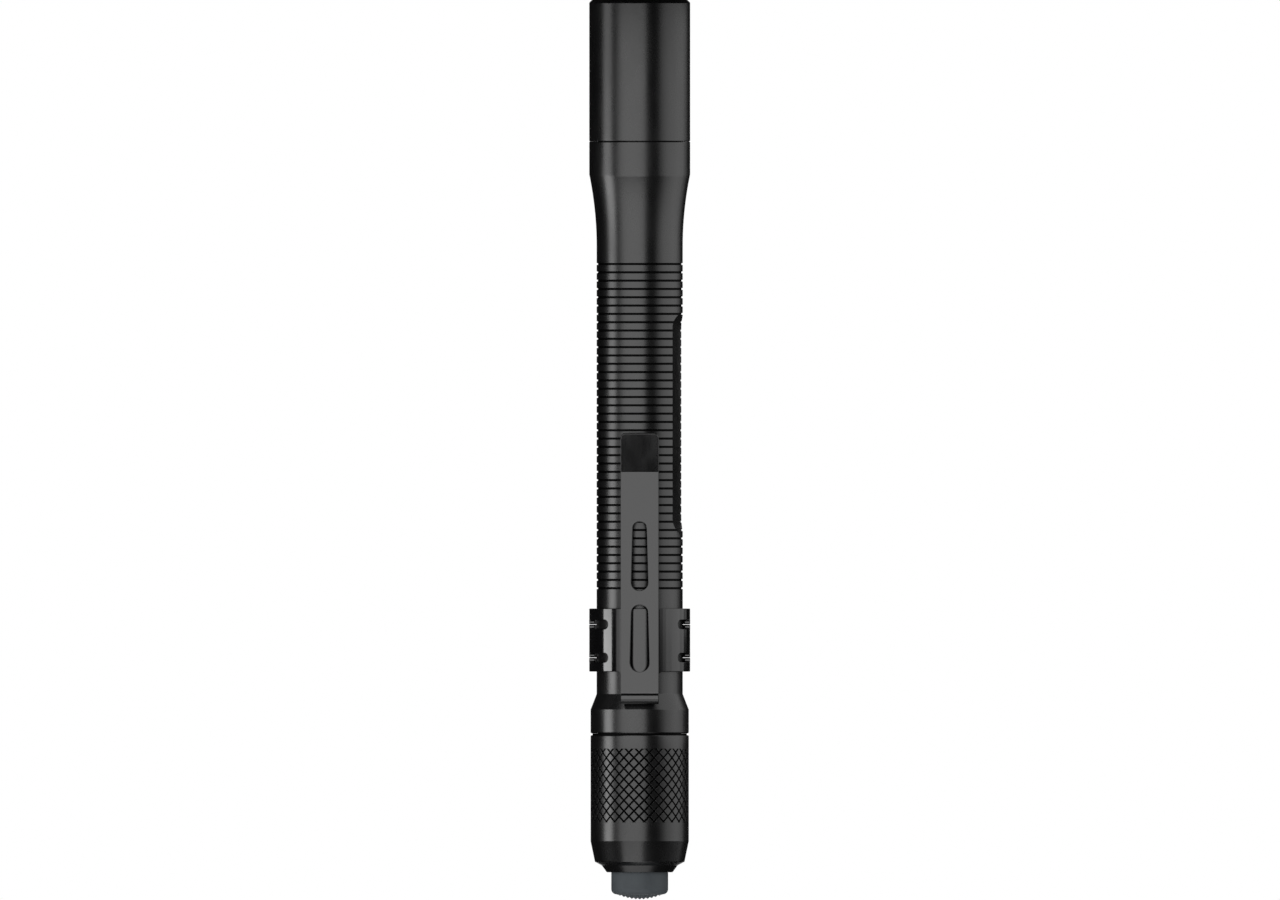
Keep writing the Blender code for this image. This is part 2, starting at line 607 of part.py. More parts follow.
def make_clip_arm():
    """The U-bend and the arm of the clip, one strip of sheet with two slots."""
    mesh = bpy.data.meshes.new("clip_arm")
    bm = bmesh.new()
    row = [bm.verts.new((-CLIP_WIDTH / 2, BEND_CENTRE_R - d, h - BEND_Z)) for d, h in arm_path()]
    lines = [bm.edges.new(pair) for pair in zip(row, row[1:])]
    swept = bmesh.ops.extrude_edge_only(bm, edges=lines)
    moved = [v for v in swept["geom"] if isinstance(v, bmesh.types.BMVert)]
    bmesh.ops.translate(bm, vec=Vector((CLIP_WIDTH, 0, 0)), verts=moved)
    low = min(v.co.z for v in bm.verts)
    tips = [v for v in bm.verts if v.co.z < low + MERGE]
    bmesh.ops.bevel(bm, geom=tips, offset=TIP_CORNER, segments=4, profile=0.5, affect='VERTICES')
    bm.to_mesh(mesh)
    bm.free()
    arm = add("clip_arm", mesh, SPRING_STEEL, CLIP, 0, -BEND_CENTRE_R, BEND_Z)
    sheet = arm.modifiers.new("Sheet", 'SOLIDIFY')
    sheet.thickness = CLIP_T
    sheet.offset = 0.0
    sheet.use_even_offset = True
    deep = 4 * BEND_R
    out = -(BAND_OUT_R + deep / 2)
    a_top = BEND_Z - SLOT_A_FROM
    a_low = a_top - SLOT_A_LENGTH
    b_top = a_low - SLOT_GAP
    slot_a = capsule(SLOT_A_W2 / 2, SLOT_A_W1 / 2, SLOT_A_LENGTH)
    slot_b = capsule(SLOT_B_W2 / 2, SLOT_B_W1 / 2, SLOT_B_LENGTH)
    cut(arm, outline_cutter("slot_a", slot_a, deep, (0, out, a_low), True))
    cut(arm, outline_cutter("slot_b", slot_b, deep, (0, out + CLIP_T, b_top - SLOT_B_LENGTH), True))
    settle(arm)


def make_tail_spring():
    """Contact spring: a few turns of wire with straight ends."""
    height = SPRING_END_Z - SPRING_Z - SPRING_WIRE
    count = SPRING_TURNS * SPRING_POINTS
    points = []
    for i in range(count + 1):
        a = 2 * pi * i / SPRING_POINTS
        points.append(Vector((SPRING_R * cos(a), SPRING_R * sin(a), height * i / count)))
    start = points[0] - (points[1] - points[0]).normalized() * SPRING_WIRE
    end = points[-1] + (points[-1] - points[-2]).normalized() * SPRING_WIRE
    start.z = 0
    end.z = height
    points = [start] + points + [end]
    nearest = min((p - q).length for i, p in enumerate(points)
                  for q in points[i + SPRING_POINTS // 2:])
    print("least gap of the tail spring to itself: %.2f mm" % ((nearest - SPRING_WIRE) / MM))
    curve = bpy.data.curves.new("tail_spring", 'CURVE')
    curve.dimensions = '3D'
    curve.bevel_depth = SPRING_WIRE / 2
    curve.bevel_resolution = 1
    curve.use_fill_caps = True
    curve.materials.append(NICKEL)
    spline = curve.splines.new('POLY')
    spline.points.add(len(points) - 1)
    for point, co in zip(spline.points, points):
        point.co = (*co, 1)
    spring = bpy.data.objects.new("tail_spring", curve)
    PARTS.objects.link(spring)
    place(spring, CARRIAGE, 0, 0, SPRING_Z + SPRING_WIRE / 2)


def make_tail_cap():
    """Tail cap with its stepped end, thread bore and switch bore."""
    hole_r = BUTTON_R + FACE_GAP
    cone_z = CAP_Z + CAP_STRAIGHT
    step_z = cone_z + CAP_CONE
    side = [(hole_r, CAP_END_Z), (CAP_FACE_R, CAP_END_Z), (CAP_STEP_R, step_z + CAP_STEP),
            (CAP_CONE_R, step_z), (COLLAR_R, cone_z), (COLLAR_R, CAP_Z + EDGE),
            (COLLAR_R - EDGE, CAP_Z), (THREAD_BORE_R, CAP_Z),
            (THREAD_BORE_R, REAR_NECK_END_Z + FACE_GAP), (SWITCH_BORE_R, REAR_NECK_END_Z + FACE_GAP),
            (SWITCH_BORE_R, WALL_Z), (hole_r, WALL_Z)]
    side = [(r, h - CAP_Z) for r, h in side]
    turned("tail_cap_shell", side, SEG_BODY, BLACK, CAP, CAP_Z)
    ring("switch_retaining_ring", SWITCH_R - SWITCH_RING_WIDTH, SWITCH_R, SWITCH_RING_T,
         SEG_INNER, BRASS, CAP, SWITCH_RING_Z)
    well_r = PLUNGER_R + FACE_GAP
    body = [(0, SWITCH_FLOOR), (well_r, SWITCH_FLOOR), (well_r, SWITCH_LENGTH),
            (SWITCH_R, SWITCH_LENGTH), (SWITCH_R, 0), (0, 0)]
    turned("switch_housing", body, SEG_INNER, SWITCH_GREY, CAP, SWITCH_Z, solid=True)
    disc = [(0, SWITCH_CONTACT_T), (SWITCH_CONTACT_R, SWITCH_CONTACT_T), (SWITCH_CONTACT_R, 0),
            (0, 0)]
    turned("switch_contact", disc, SEG_SMALL, BRASS, CAP, SWITCH_CONTACT_Z, solid=True)


def make_button():
    """Rubber button with its lip behind the cap's end wall, and the plunger under it."""
    top = BUTTON_END_Z - LIP_Z
    edge_z = top - BUTTON_DOME_H
    side = [(0, top)]
    flat_r = BUTTON_R - BUTTON_EDGE_R
    for i in range(1, 4):
        t = i / 4
        side.append((flat_r * t, top - BUTTON_DOME_H * t * t))
    for i in range(4):
        a = pi / 2 * i / 3
        side.append((flat_r + BUTTON_EDGE_R * sin(a), edge_z - BUTTON_EDGE_R * (1 - cos(a))))
    well_r = PLUNGER_R + FACE_GAP
    lip_r = BUTTON_R + BUTTON_LIP_WIDTH
    side += [(BUTTON_R, BUTTON_LIP), (lip_r, BUTTON_LIP), (lip_r, 0), (well_r, 0),
             (well_r, BUTTON_RECESS), (0, BUTTON_RECESS)]
    turned("tail_button", side, SEG_INNER, RUBBER, BUTTON, LIP_Z, solid=True)
    long = LIP_Z + BUTTON_RECESS - FACE_GAP - PLUNGER_Z
    pin = [(0, long), (PLUNGER_R, long), (PLUNGER_R, 0), (0, 0)]
    turned("switch_plunger", pin, SEG_SMALL, PLASTIC, BUTTON, PLUNGER_Z, solid=True)


make_head()
make_barrel()
make_light_engine()
make_cell("cell_front", CELL_1_Z)
make_cell("cell_rear", CELL_2_Z)
make_clip_band()
make_clip_arm()
make_tail_spring()
make_tail_cap()
make_button()
for piece in list(PARTS.objects):
    if piece.type == 'MESH' and piece.modifiers:
        settle(piece)
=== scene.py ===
"""Looks for the pen-type inspection light: turned, stamped and moulded pieces laid over the
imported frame, their finishes, and the studio. Sizes are in millimetres until a mesh is made."""

from math import acos, atan2, cos, hypot, pi, radians, sin, tan  # noqa: E402

import bmesh  # noqa: E402
import bpy  # noqa: E402
import numpy as np  # noqa: E402
from mathutils import Matrix, Vector  # noqa: E402


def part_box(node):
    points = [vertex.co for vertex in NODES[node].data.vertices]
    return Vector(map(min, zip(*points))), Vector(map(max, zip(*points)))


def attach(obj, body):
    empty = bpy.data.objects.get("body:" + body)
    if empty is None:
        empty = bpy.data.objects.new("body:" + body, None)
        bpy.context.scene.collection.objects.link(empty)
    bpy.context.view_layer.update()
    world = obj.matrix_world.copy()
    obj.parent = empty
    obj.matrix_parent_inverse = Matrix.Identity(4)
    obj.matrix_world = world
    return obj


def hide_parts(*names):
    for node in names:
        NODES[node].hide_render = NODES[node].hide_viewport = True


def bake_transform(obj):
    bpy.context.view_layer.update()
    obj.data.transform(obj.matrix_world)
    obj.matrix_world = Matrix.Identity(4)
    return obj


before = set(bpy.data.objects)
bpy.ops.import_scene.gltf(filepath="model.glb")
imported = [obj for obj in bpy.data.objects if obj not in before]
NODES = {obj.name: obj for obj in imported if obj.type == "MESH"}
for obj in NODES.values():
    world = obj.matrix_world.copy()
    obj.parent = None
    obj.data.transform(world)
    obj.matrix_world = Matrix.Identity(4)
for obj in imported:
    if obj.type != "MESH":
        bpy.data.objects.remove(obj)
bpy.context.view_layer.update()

MM = 0.001
sleeve_low, sleeve_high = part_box("focus_sleeve")
AXIS_Y = (sleeve_low.y + sleeve_high.y) / 2 / MM   # the light's own axis is at x = 0, y = AXIS_Y

# Turned sizes
HEAD_R = 7.67
BARREL_R = 6.545
COLLAR_R = 7.464
SLEEVE_END_Z = 21.896                   # the sleeve ends just short of the neck
NECK_Z = 21.9
TAPER_Z = 26.9                          # the neck narrows to the grip from here
TAPER_LENGTH = 11
JOINT_Z = 111.9                         # rear face of the collar
CAP_Z = 111.904                         # the cap starts just behind it
CAP_END_Z = 133.0
SEAM_DEPTH = 0.3                        # the groove between collar and cap
SEAM_WIDTH = 0.24

# Grip, with each groove as (offset along the axis, depth) from its tail side to its head side
GROOVE_FIRST = 40.54
GROOVE_PITCH = 1.2636
GROOVES = 40
GROOVE_SHAPE = ((0.17, 0), (0.14, 0.045), (0.11, 0.2), (-0.11, 0.2), (-0.14, 0.045), (-0.17, 0))

# Milled flat: its distance from the axis, its ends, the radii of its run-outs and its direction
FLAT_D = 5.8
FLAT_LOW, FLAT_HIGH = 50.2, 79.1
RUNOUT_LOW, RUNOUT_HIGH = 3.5, 4.8
FLAT_TURN = radians(12.7)

# Knurl: crossings half a diamond apart along the axis, thirty diamonds round the cap
KNURL_LOW = 114.2
KNURL_HIGH = 125.43
KNURL_ROUND = 30
KNURL_FIRST = 114.775
KNURL_LONG = 1.6204
KNURL_TURN = radians(-0.8)
KNURL_DEPTH = 0.22
KNURL_SPACING = 1.123                   # between the grooves of one family, square to them
KNURL_AWAY = (0, 0.05, 0.12, 0.145)     # distance from a groove's middle
KNURL_SHARE = (1, 0.93, 0.1, 0)         # share of the depth there
KNURL_MARKS = (0, 0.045, 0.107, 0.129, 0.32, 0.5, 0.68, 0.871, 0.893, 0.955)


def look(name, colour, rough, metal=0.0, spec=0.5):
    """A Principled material, its node tree and its shader."""
    mat = bpy.data.materials.new(name)
    mat.use_nodes = True
    tree = mat.node_tree
    shader = tree.nodes["Principled BSDF"]
    shader.inputs["Base Color"].default_value = (*colour, 1)
    shader.inputs["Roughness"].default_value = rough
    shader.inputs["Metallic"].default_value = metal
    shader.inputs["Specular IOR Level"].default_value = spec
    return mat, tree, shader


def noise(tree, scale, stretch=(1, 1, 1), detail=4.0, rough=0.5):
    """Noise in the piece's own space, scale in cycles per millimetre, stretched by axis."""
    coord = tree.nodes.new("ShaderNodeTexCoord")
    mapping = tree.nodes.new("ShaderNodeMapping")
    mapping.inputs["Scale"].default_value = [s / MM * scale for s in stretch]
    tex = tree.nodes.new("ShaderNodeTexNoise")
    tex.inputs["Scale"].default_value = 1.0
    tex.inputs["Detail"].default_value = detail
    tex.inputs["Roughness"].default_value = rough
    tree.links.new(coord.outputs["Object"], mapping.inputs["Vector"])
    tree.links.new(mapping.outputs["Vector"], tex.inputs["Vector"])
    return tex.outputs["Fac"]


def spread(tree, value, low, high, start=0.3, end=0.7):
    """A value in start..end spread over low..high."""
    node = tree.nodes.new("ShaderNodeMapRange")
    node.inputs["From Min"].default_value = start
    node.inputs["From Max"].default_value = end
    node.inputs["To Min"].default_value = low
    node.inputs["To Max"].default_value = high
    tree.links.new(value, node.inputs["Value"])
    return node.outputs["Result"]


def tint(tree, value, dark, light, start=0.3, end=0.7):
    """A colour between two, by a value."""
    ramp = tree.nodes.new("ShaderNodeValToRGB")
    ramp.color_ramp.elements[0].position = start
    ramp.color_ramp.elements[0].color = (*dark, 1)
    ramp.color_ramp.elements[1].position = end
    ramp.color_ramp.elements[1].color = (*light, 1)
    tree.links.new(value, ramp.inputs["Fac"])
    return ramp.outputs["Color"]


def relief(tree, shader, heights):
    """Bump from (value, depth in mm) pairs, one after the other."""
    last = None
    for value, depth in heights:
        bump = tree.nodes.new("ShaderNodeBump")
        bump.inputs["Strength"].default_value = 1.0
        bump.inputs["Distance"].default_value = depth * MM
        tree.links.new(value, bump.inputs["Height"])
        if last:
            tree.links.new(last, bump.inputs["Normal"])
        last = bump.outputs["Normal"]
    tree.links.new(last, shader.inputs["Normal"])


def anodised(name, dark, light, rough, spec, lines, grain):
    """Black coated metal: faint turning lines or fine grain, and uneven sheen."""
    mat, tree, shader = look(name, light, rough, 0.0, spec)
    cloud = noise(tree, 0.35, (1, 1, 0.5), 5)
    tree.links.new(tint(tree, cloud, dark, light), shader.inputs["Base Color"])
    tree.links.new(spread(tree, cloud, rough - 0.02, rough + 0.03), shader.inputs["Roughness"])
    heights = [(noise(tree, 9.0, detail=2), grain)]
    if lines:
        heights.append((noise(tree, 6.0, (0.02, 0.02, 1), 3), lines))
    relief(tree, shader, heights)
    return mat


def moulded(name, dark, light, rough, spec=0.4, grain=0.004, scale=5.0):
    """Moulded rubber or plastic: soft colour drift and a fine matt skin."""
    mat, tree, shader = look(name, light, rough, 0.0, spec)
    cloud = noise(tree, 0.5, detail=4)
    tree.links.new(tint(tree, cloud, dark, light), shader.inputs["Base Color"])
    tree.links.new(spread(tree, cloud, rough - 0.05, rough + 0.05), shader.inputs["Roughness"])
    relief(tree, shader, [(noise(tree, scale, detail=3), grain)])
    return mat


def turned_metal(name, dark, light, rough, lines=0.004):
    """Bare turned or plated metal with fine marks round the axis."""
    mat, tree, shader = look(name, light, rough, 1.0)
    cloud = noise(tree, 0.8, detail=4)
    tree.links.new(tint(tree, cloud, dark, light), shader.inputs["Base Color"])
    tree.links.new(spread(tree, cloud, rough - 0.06, rough + 0.08), shader.inputs["Roughness"])
    relief(tree, shader, [(noise(tree, 9.0, (0.02, 0.02, 1), 3), lines)])
    return mat


BLACK = anodised("black_anodised_satin", (0.0018, 0.0018, 0.0020), (0.0030, 0.0030, 0.0033), 0.27,
                 1.0, 0.0012, 0.0006)
CLIP_BLACK = anodised("black_clip_coat", (0.0018, 0.0018, 0.0020), (0.0030, 0.0030, 0.0033), 0.1,
                      1.0, 0.0, 0.0003)
# Painted shade: faces down in the grip grooves, the knurl grooves and the cap's seam get this
# darker, duller black in place of the shade that falls in them.
GROOVE_SHADE_BLACK = anodised("black_anodised_painted_groove_shade", (0.0010, 0.0010, 0.0011), (0.0016, 0.0016, 0.0018),
                        0.5, 0.06, 0.0, 0.001)
RUBBER = moulded("grey_button_rubber", (0.050, 0.058, 0.065), (0.057, 0.067, 0.074), 0.6, 0.35)
SEAL = moulded("black_nitrile", (0.008, 0.008, 0.008), (0.014, 0.014, 0.014), 0.45)
PLASTIC = moulded("black_moulding", (0.015, 0.015, 0.015), (0.025, 0.025, 0.026), 0.45)
GREY = moulded("grey_moulding", (0.26, 0.26, 0.26), (0.32, 0.32, 0.32), 0.45)
WHITE_BOARD = moulded("white_solder_mask", (0.76, 0.76, 0.75), (0.84, 0.84, 0.83), 0.35)
GREEN_BOARD = moulded("green_solder_mask", (0.02, 0.15, 0.05), (0.035, 0.22, 0.08), 0.3)
JACKET = moulded("cell_film", (0.07, 0.09, 0.11), (0.09, 0.11, 0.13), 0.3, 0.5, 0.001, 1.0)
BRASS = turned_metal("turned_brass", (0.62, 0.42, 0.16), (0.76, 0.56, 0.25), 0.28)
ALUMINIUM = turned_metal("turned_aluminium", (0.66, 0.66, 0.67), (0.78, 0.78, 0.79), 0.3)
NICKEL = turned_metal("nickel_plate", (0.54, 0.53, 0.5), (0.66, 0.65, 0.62), 0.22)
PHOSPHOR = moulded("led_phosphor", (0.78, 0.62, 0.1), (0.86, 0.72, 0.16), 0.6, 0.3, 0.01, 8.0)
CERAMIC = moulded("led_ceramic", (0.8, 0.8, 0.78), (0.87, 0.87, 0.85), 0.4)


def clear(name, ior, rough):
    """Clear plastic or silicone with a barely uneven surface."""
    mat, tree, shader = look(name, (0.97, 0.985, 0.99), rough)
    shader.inputs["Transmission Weight"].default_value = 1.0
    shader.inputs["IOR"].default_value = ior
    relief(tree, shader, [(noise(tree, 0.3, detail=2), 0.0006)])
    return mat


LENS = clear("clear_acrylic", 1.49, 0.02)
SILICONE = clear("clear_silicone", 1.41, 0.05)


def rounded(points, steps=5):
    """Points of a profile of (radius, height, fillet) corners, with their fillets drawn in."""
    out = []
    for i, corner in enumerate(points):
        fillet = corner[2] if len(corner) > 2 else 0
        here = np.array(corner[:2], float)
        if not fillet:
            out.append(tuple(here))
            continue
        before = np.array(points[i - 1][:2], float) - here
        after = np.array(points[(i + 1) % len(points)][:2], float) - here
        before /= np.linalg.norm(before)
        after /= np.linalg.norm(after)
        half = acos(max(-1, min(1, before @ after))) / 2
        back = fillet / tan(half)
        middle = (before + after) / np.linalg.norm(before + after)
        centre = here + middle * fillet / sin(half)
        a, b = here + before * back - centre, here + after * back - centre
        turn = acos(max(-1, min(1, a @ b / fillet ** 2)))
        for k in range(steps + 1):
            t = k / steps
            arc = (sin((1 - t) * turn) * a + sin(t * turn) * b) / sin(turn)
            out.append(tuple(centre + arc))
    return out


def new_object(name, verts, faces, mats, marks=None):
    """A mesh object from points in millimetres, given from the light's axis."""
    mesh = bpy.data.meshes.new(name)
    co = np.array(verts, float)
    co[:, 1] += AXIS_Y
    mesh.from_pydata((co * MM).tolist(), [], faces)
    for mat in mats:
        mesh.materials.append(mat)
    if marks is not None:
        mesh.polygons.foreach_set("material_index", marks)
    bm = bmesh.new()
    bm.from_mesh(mesh)
    bmesh.ops.remove_doubles(bm, verts=bm.verts, dist=2e-7)
    bmesh.ops.recalc_face_normals(bm, faces=bm.faces)
    bm.to_mesh(mesh)
    bm.free()
    obj = bpy.data.objects.new(name, mesh)
    bpy.context.scene.collection.objects.link(obj)
    return obj


def lathe_mesh(profile, segs, closed=True):
    """Points and faces of a profile turned round the light's axis."""
    verts, rings = [], []
    for r, z in profile:
        if r < 1e-6:
            rings.append([len(verts)] * segs)
            verts.append((0, 0, z))
            continue
        rings.append(list(range(len(verts), len(verts) + segs)))
        for k in range(segs):
            a = 2 * pi * k / segs
            verts.append((r * sin(a), -r * cos(a), z))
    pairs = list(zip(rings, rings[1:]))
    if closed:
        pairs.append((rings[-1], rings[0]))
    faces = []
    for low, high in pairs:
        for k in range(segs):
            n = (k + 1) % segs
            face = [low[k], low[n], high[n], high[k]]
            face = [v for i, v in enumerate(face) if v != face[i - 1]]
            if len(face) > 2:
                faces.append(face)
    return verts, faces


def lathe(name, profile, segs, mat, closed=True, angle=38):
    """A turned piece, smooth but for its real edges."""
    verts, faces = lathe_mesh(profile, segs, closed)
    obj = new_object(name, verts, faces, [mat])
    finish_shading(obj, angle)
    return obj


def finish_shading(obj, angle=38):
    """Smooth shading with sharp edges kept above an angle, and broad faces kept true."""
    obj.data.shade_smooth()
    obj.data.set_sharp_from_angle(angle=radians(angle))
    even = obj.modifiers.new("Even", 'WEIGHTED_NORMAL')
    even.weight = 90
    even.keep_sharp = True
    bake(obj)


def bake(obj):
    """Replace an object's modifiers by the mesh that they make."""
    bpy.context.view_layer.update()
    graph = bpy.context.evaluated_depsgraph_get()
    mesh = bpy.data.meshes.new_from_object(obj.evaluated_get(graph))
    obj.modifiers.clear()
    obj.data = mesh


def wear(obj, body, slot, *nodes):
    """Put a piece on its body and hide the CAD nodes that it stands for. The slot argument is not
    used.
    """
    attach(obj, body)
    if nodes:
        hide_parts(*nodes)
    return obj


# Focusing head ------------------------------------------------------------------------------

def make_sleeve():
    """Sleeve with its rounded bezel, lip and stepped bore."""
    corners = [(6.55, SLEEVE_END_Z, 0.1), (HEAD_R, SLEEVE_END_Z, 0.15), (HEAD_R, 0.82, 0.25),
               (6.86, 0, 0.3), (5.6, 0, 0.3),
               (5.6, 1.2, 0.1), (7.05, 1.2), (7.05, 15.8), (6.55, 15.8)]
    wear(lathe("focus_sleeve_turned", rounded(corners, 6), 144, BLACK), "focus_head",
         "black_anodised", "focus_sleeve")


def make_lens():
    """Moulded lens: a flange, a step and a domed front."""
    edge, rise = 5.1, 1.6
    ball = (edge ** 2 + rise ** 2) / (2 * rise)
    sweep = atan2(edge, ball - rise)
    profile = [(0, 3.6)] + rounded([(0, 3.6), (6.75, 3.6, 0.1), (6.75, 2.4, 0.1), (5.2, 2.4, 0.05),
                                    (edge, 2.36)], 3)[1:]
    for i in range(19, -1, -1):
        a = sweep * i / 20
        profile.append((ball * sin(a), 2.4 + ball - rise - ball * cos(a)))
    profile[-1] = (0, 0.8)
    wear(lathe("focus_lens_moulded", profile, 96, LENS, closed=False), "focus_head", "clear_lens",
         "focus_lens")


# Barrel -------------------------------------------------------------------------------------

def make_barrel():
    """Barrel with rounded grip grooves, parting-line edges and the milled flat."""
    rings = [(5.35, 119.5, 0.15), (6.35, 119.5, 0.35), (6.35, 119.25), (6.05, 119.1),
             (6.05, 114.35), (6.35, 114.2), (6.35, 113.6, 0.08), (5.85, 113.6), (5.85, 112.8),
             (6.35, 112.8, 0.08), (6.35, JOINT_Z), (COLLAR_R, JOINT_Z, 0.22),
             (COLLAR_R, 108.26, 0.3), (BARREL_R, 105.9, 0.3), (BARREL_R, 100)]
    side = rounded(rings, 5)[:-1]
    for i in reversed(range(GROOVES)):
        middle = GROOVE_FIRST + i * GROOVE_PITCH
        side += [(BARREL_R - depth, middle + off) for off, depth in GROOVE_SHAPE]
    steps = 26
    for i in range(steps + 1):
        t = 1 - i / steps
        side.append((BARREL_R + (HEAD_R - BARREL_R) * (1 - t) ** 2, TAPER_Z + TAPER_LENGTH * t))
    ends = [(HEAD_R, TAPER_Z), (HEAD_R, NECK_Z, 0.18), (6.25, NECK_Z), (6.25, 16.9), (5.75, 16.9),
            (5.75, 16.1), (6.25, 16.1), (6.25, 11.5), (6.75, 11.5, 0.1), (6.75, 10.0, 0.2),
            (5.35, 10.0, 0.1), (5.35, 119.5)]
    side += rounded(ends, 5)[1:-1]
    verts, faces = lathe_mesh(side, 144)
    # The third material is the painted groove shade.
    tube = new_object("barrel_turned", verts, faces, [BLACK, BLACK, GROOVE_SHADE_BLACK])
    paint_groove_shade(tube)
    cut_flat(tube)
    finish_shading(tube, 40)
    bm = bmesh.new()
    bm.from_mesh(tube.data)
    for edge in bm.edges:
        if len({face.material_index for face in edge.link_faces}) > 1:
            edge.smooth = False
    bm.to_mesh(tube.data)
    bm.free()
    wear(tube, "barrel", "black_anodised", "barrel_tube")


def paint_groove_shade(tube):
    """Paint shade into the grip grooves: their faces get the darker groove material as painted
    shade.
    """
    last = GROOVE_FIRST + GROOVE_PITCH * (GROOVES - 0.5)
    for face in tube.data.polygons:
        middle = face.center
        z = middle.z / MM
        off = abs((z - GROOVE_FIRST + GROOVE_PITCH / 2) % GROOVE_PITCH - GROOVE_PITCH / 2)
        outside = hypot(middle.x, middle.y - AXIS_Y * MM) > 6.2 * MM
        if GROOVE_FIRST - 0.5 < z < last and off < 0.16 and outside:
            face.material_index = 2


def cut_flat(tube):
    """Cut the milled flat with a slab that has rounded run-outs."""
    outline = [(13.0, FLAT_HIGH + RUNOUT_HIGH), (13.0, FLAT_LOW - RUNOUT_LOW)]
    for i in range(25):
        a = pi / 2 * i / 24
        outline.append((FLAT_D + RUNOUT_LOW * (1 - sin(a)), FLAT_LOW - RUNOUT_LOW * cos(a)))
    for i in range(25):
        a = pi / 2 * i / 24
        outline.append((FLAT_D + RUNOUT_HIGH * (1 - cos(a)), FLAT_HIGH + RUNOUT_HIGH * sin(a)))
    out = np.array((-cos(FLAT_TURN), -sin(FLAT_TURN)))
    across = np.array((-out[1], out[0]))
    verts = [(*(out * d + across * side_at), z) for side_at in (-7, 7) for d, z in outline]
    count = len(outline)
    faces = [list(range(count)), list(range(2 * count - 1, count - 1, -1))]
    faces += [[i, (i + 1) % count, count + (i + 1) % count, count + i] for i in range(count)]
    slab = new_object("flat_cutter", verts, faces, [BLACK, BLACK], [1] * len(faces))
    mod = tube.modifiers.new("Flat", 'BOOLEAN')
    mod.operation = 'DIFFERENCE'
    mod.object = slab
    mod.solver = 'EXACT'
    mod.material_mode = 'INDEX'
    bake(tube)
    bpy.data.objects.remove(slab, do_unlink=True)


def make_thread():
    """The helical thread on the rear neck, with its run-outs."""
    low, high, pitch, steps = 114.7, 118.9, 1.0, 72
    count = int((high - low) / pitch * steps)
    section = ((-0.42, 0.0), (-0.1, 1.0), (0.1, 1.0), (0.42, 0.0), (0.42, -0.3), (-0.42, -0.3))
    verts, faces = [], []
    for i in range(count + 1):
        a = 2 * pi * i / steps
        fade = min(1, i / 18, (count - i) / 18)
        z = low + pitch * i / steps
        for dz, up in section:
            r = 6.04 + (0.38 * up * fade if up > 0 else 0.3 * up)
            verts.append((r * sin(a), -r * cos(a), z + dz))
    n = len(section)
    for i in range(count):
        for k in range(n):
            k2 = (k + 1) % n
            faces.append([i * n + k, i * n + k2, (i + 1) * n + k2, (i + 1) * n + k])
    faces += [list(range(n)), [count * n + k for k in reversed(range(n))]]
    obj = new_object("tail_thread", verts, faces, [BLACK])
    finish_shading(obj, 30)
    wear(obj, "barrel", "black_anodised")


def make_oring(name, r_mid, z, body, node):
    """A round-section sealing ring."""
    profile = [(r_mid + 0.25 * cos(2 * pi * i / 16), z + 0.25 * sin(2 * pi * i / 16))
               for i in range(16)]
    wear(lathe(name, profile, 96, SEAL, angle=60), body, "seal_rubber", node)


# Pocket clip --------------------------------------------------------------------------------

CLIP_T = 0.85
CLIP_MID_R = 7.25                       # middle of the sheet round the barrel
CLIP_WRAP = 7.478                       # developed length to angle
BEND_D, BEND_Z = 8.325, 105.7           # centre of the bend, from the axis and along it
BEND_MID, BEND_STRETCH = 1.075, 1.2     # its radius, and how much taller it is than round
BAND_Z = 92.9
BAND_HEIGHT = 9.6
BAND_HALF = 20.07                       # half the band's girth, laid flat
ARM_HALF = 2.9                          # half the width of the arm
ARM_END_D, ARM_END_Z = 7.25, 72.25      # where the tip flares out
LEAN = atan2(BEND_D + BEND_MID - ARM_END_D, BEND_Z - ARM_END_Z)
LEG_TOP = BEND_Z - BAND_Z
BEND_LENGTH = BEND_MID * (pi + LEAN)
TIP_LENGTH = 6.0
TIP_FLARE = radians(8.5)
KINK_R = 1.6
KINK_STEPS = 8
SLIT_AT = (7.48, 2.43)                  # heights of the band's slits over its lower edge
SLIT_HALF, SLIT_HOLE_R = 0.03, 0.68
# Slots of the arm: (upper end, lower end, width at the first, width at the second)
SLOTS = ((102.6, 92.4, 2.95, 2.55), (90.24, 79.74, 2.58, 2.13))
CURL_OVER, CURL_RUN = 1.9, 2.2          # the sheet goes from curled to flat over this stretch


def clip_path():
    """The sheet's middle line as rows of (length, distance from the axis, height, heading)."""
    rows = [(-2, CLIP_MID_R, BAND_Z - 2, 0.0), (LEG_TOP, CLIP_MID_R, BEND_Z, 0.0)]
    steps = 40
    for i in range(1, steps + 1):
        a = (pi + LEAN) * i / steps
        rows.append((LEG_TOP + BEND_MID * a, BEND_D - BEND_MID * cos(a),
                     BEND_Z + BEND_STRETCH * BEND_MID * sin(a), a))
    length, d, z, a = rows[-1]
    straight = hypot(d - ARM_END_D, z - ARM_END_Z)
    kink = LEAN + TIP_FLARE
    back = KINK_R * tan(kink / 2)
    length += straight - back
    d += sin(a) * (straight - back)
    z += cos(a) * (straight - back)
    rows.append((length, d, z, a))
    turn = kink / KINK_STEPS
    step = KINK_R * turn
    for _ in range(KINK_STEPS):
        mid = a - turn / 2
        length, d, z, a = length + step, d + sin(mid) * step, z + cos(mid) * step, a - turn
        rows.append((length, d, z, a))
    rest = TIP_LENGTH / cos(TIP_FLARE) - back
    rows.append((length + rest, d + sin(a) * rest, z + cos(a) * rest, a))
    return np.array(rows)


def arc(cx, cy, r, start, end, steps=8):
    """Points of an arc, angles in degrees."""
    return [(cx + r * cos(radians(start + (end - start) * i / steps)),
             cy + r * sin(radians(start + (end - start) * i / steps))) for i in range(steps + 1)]


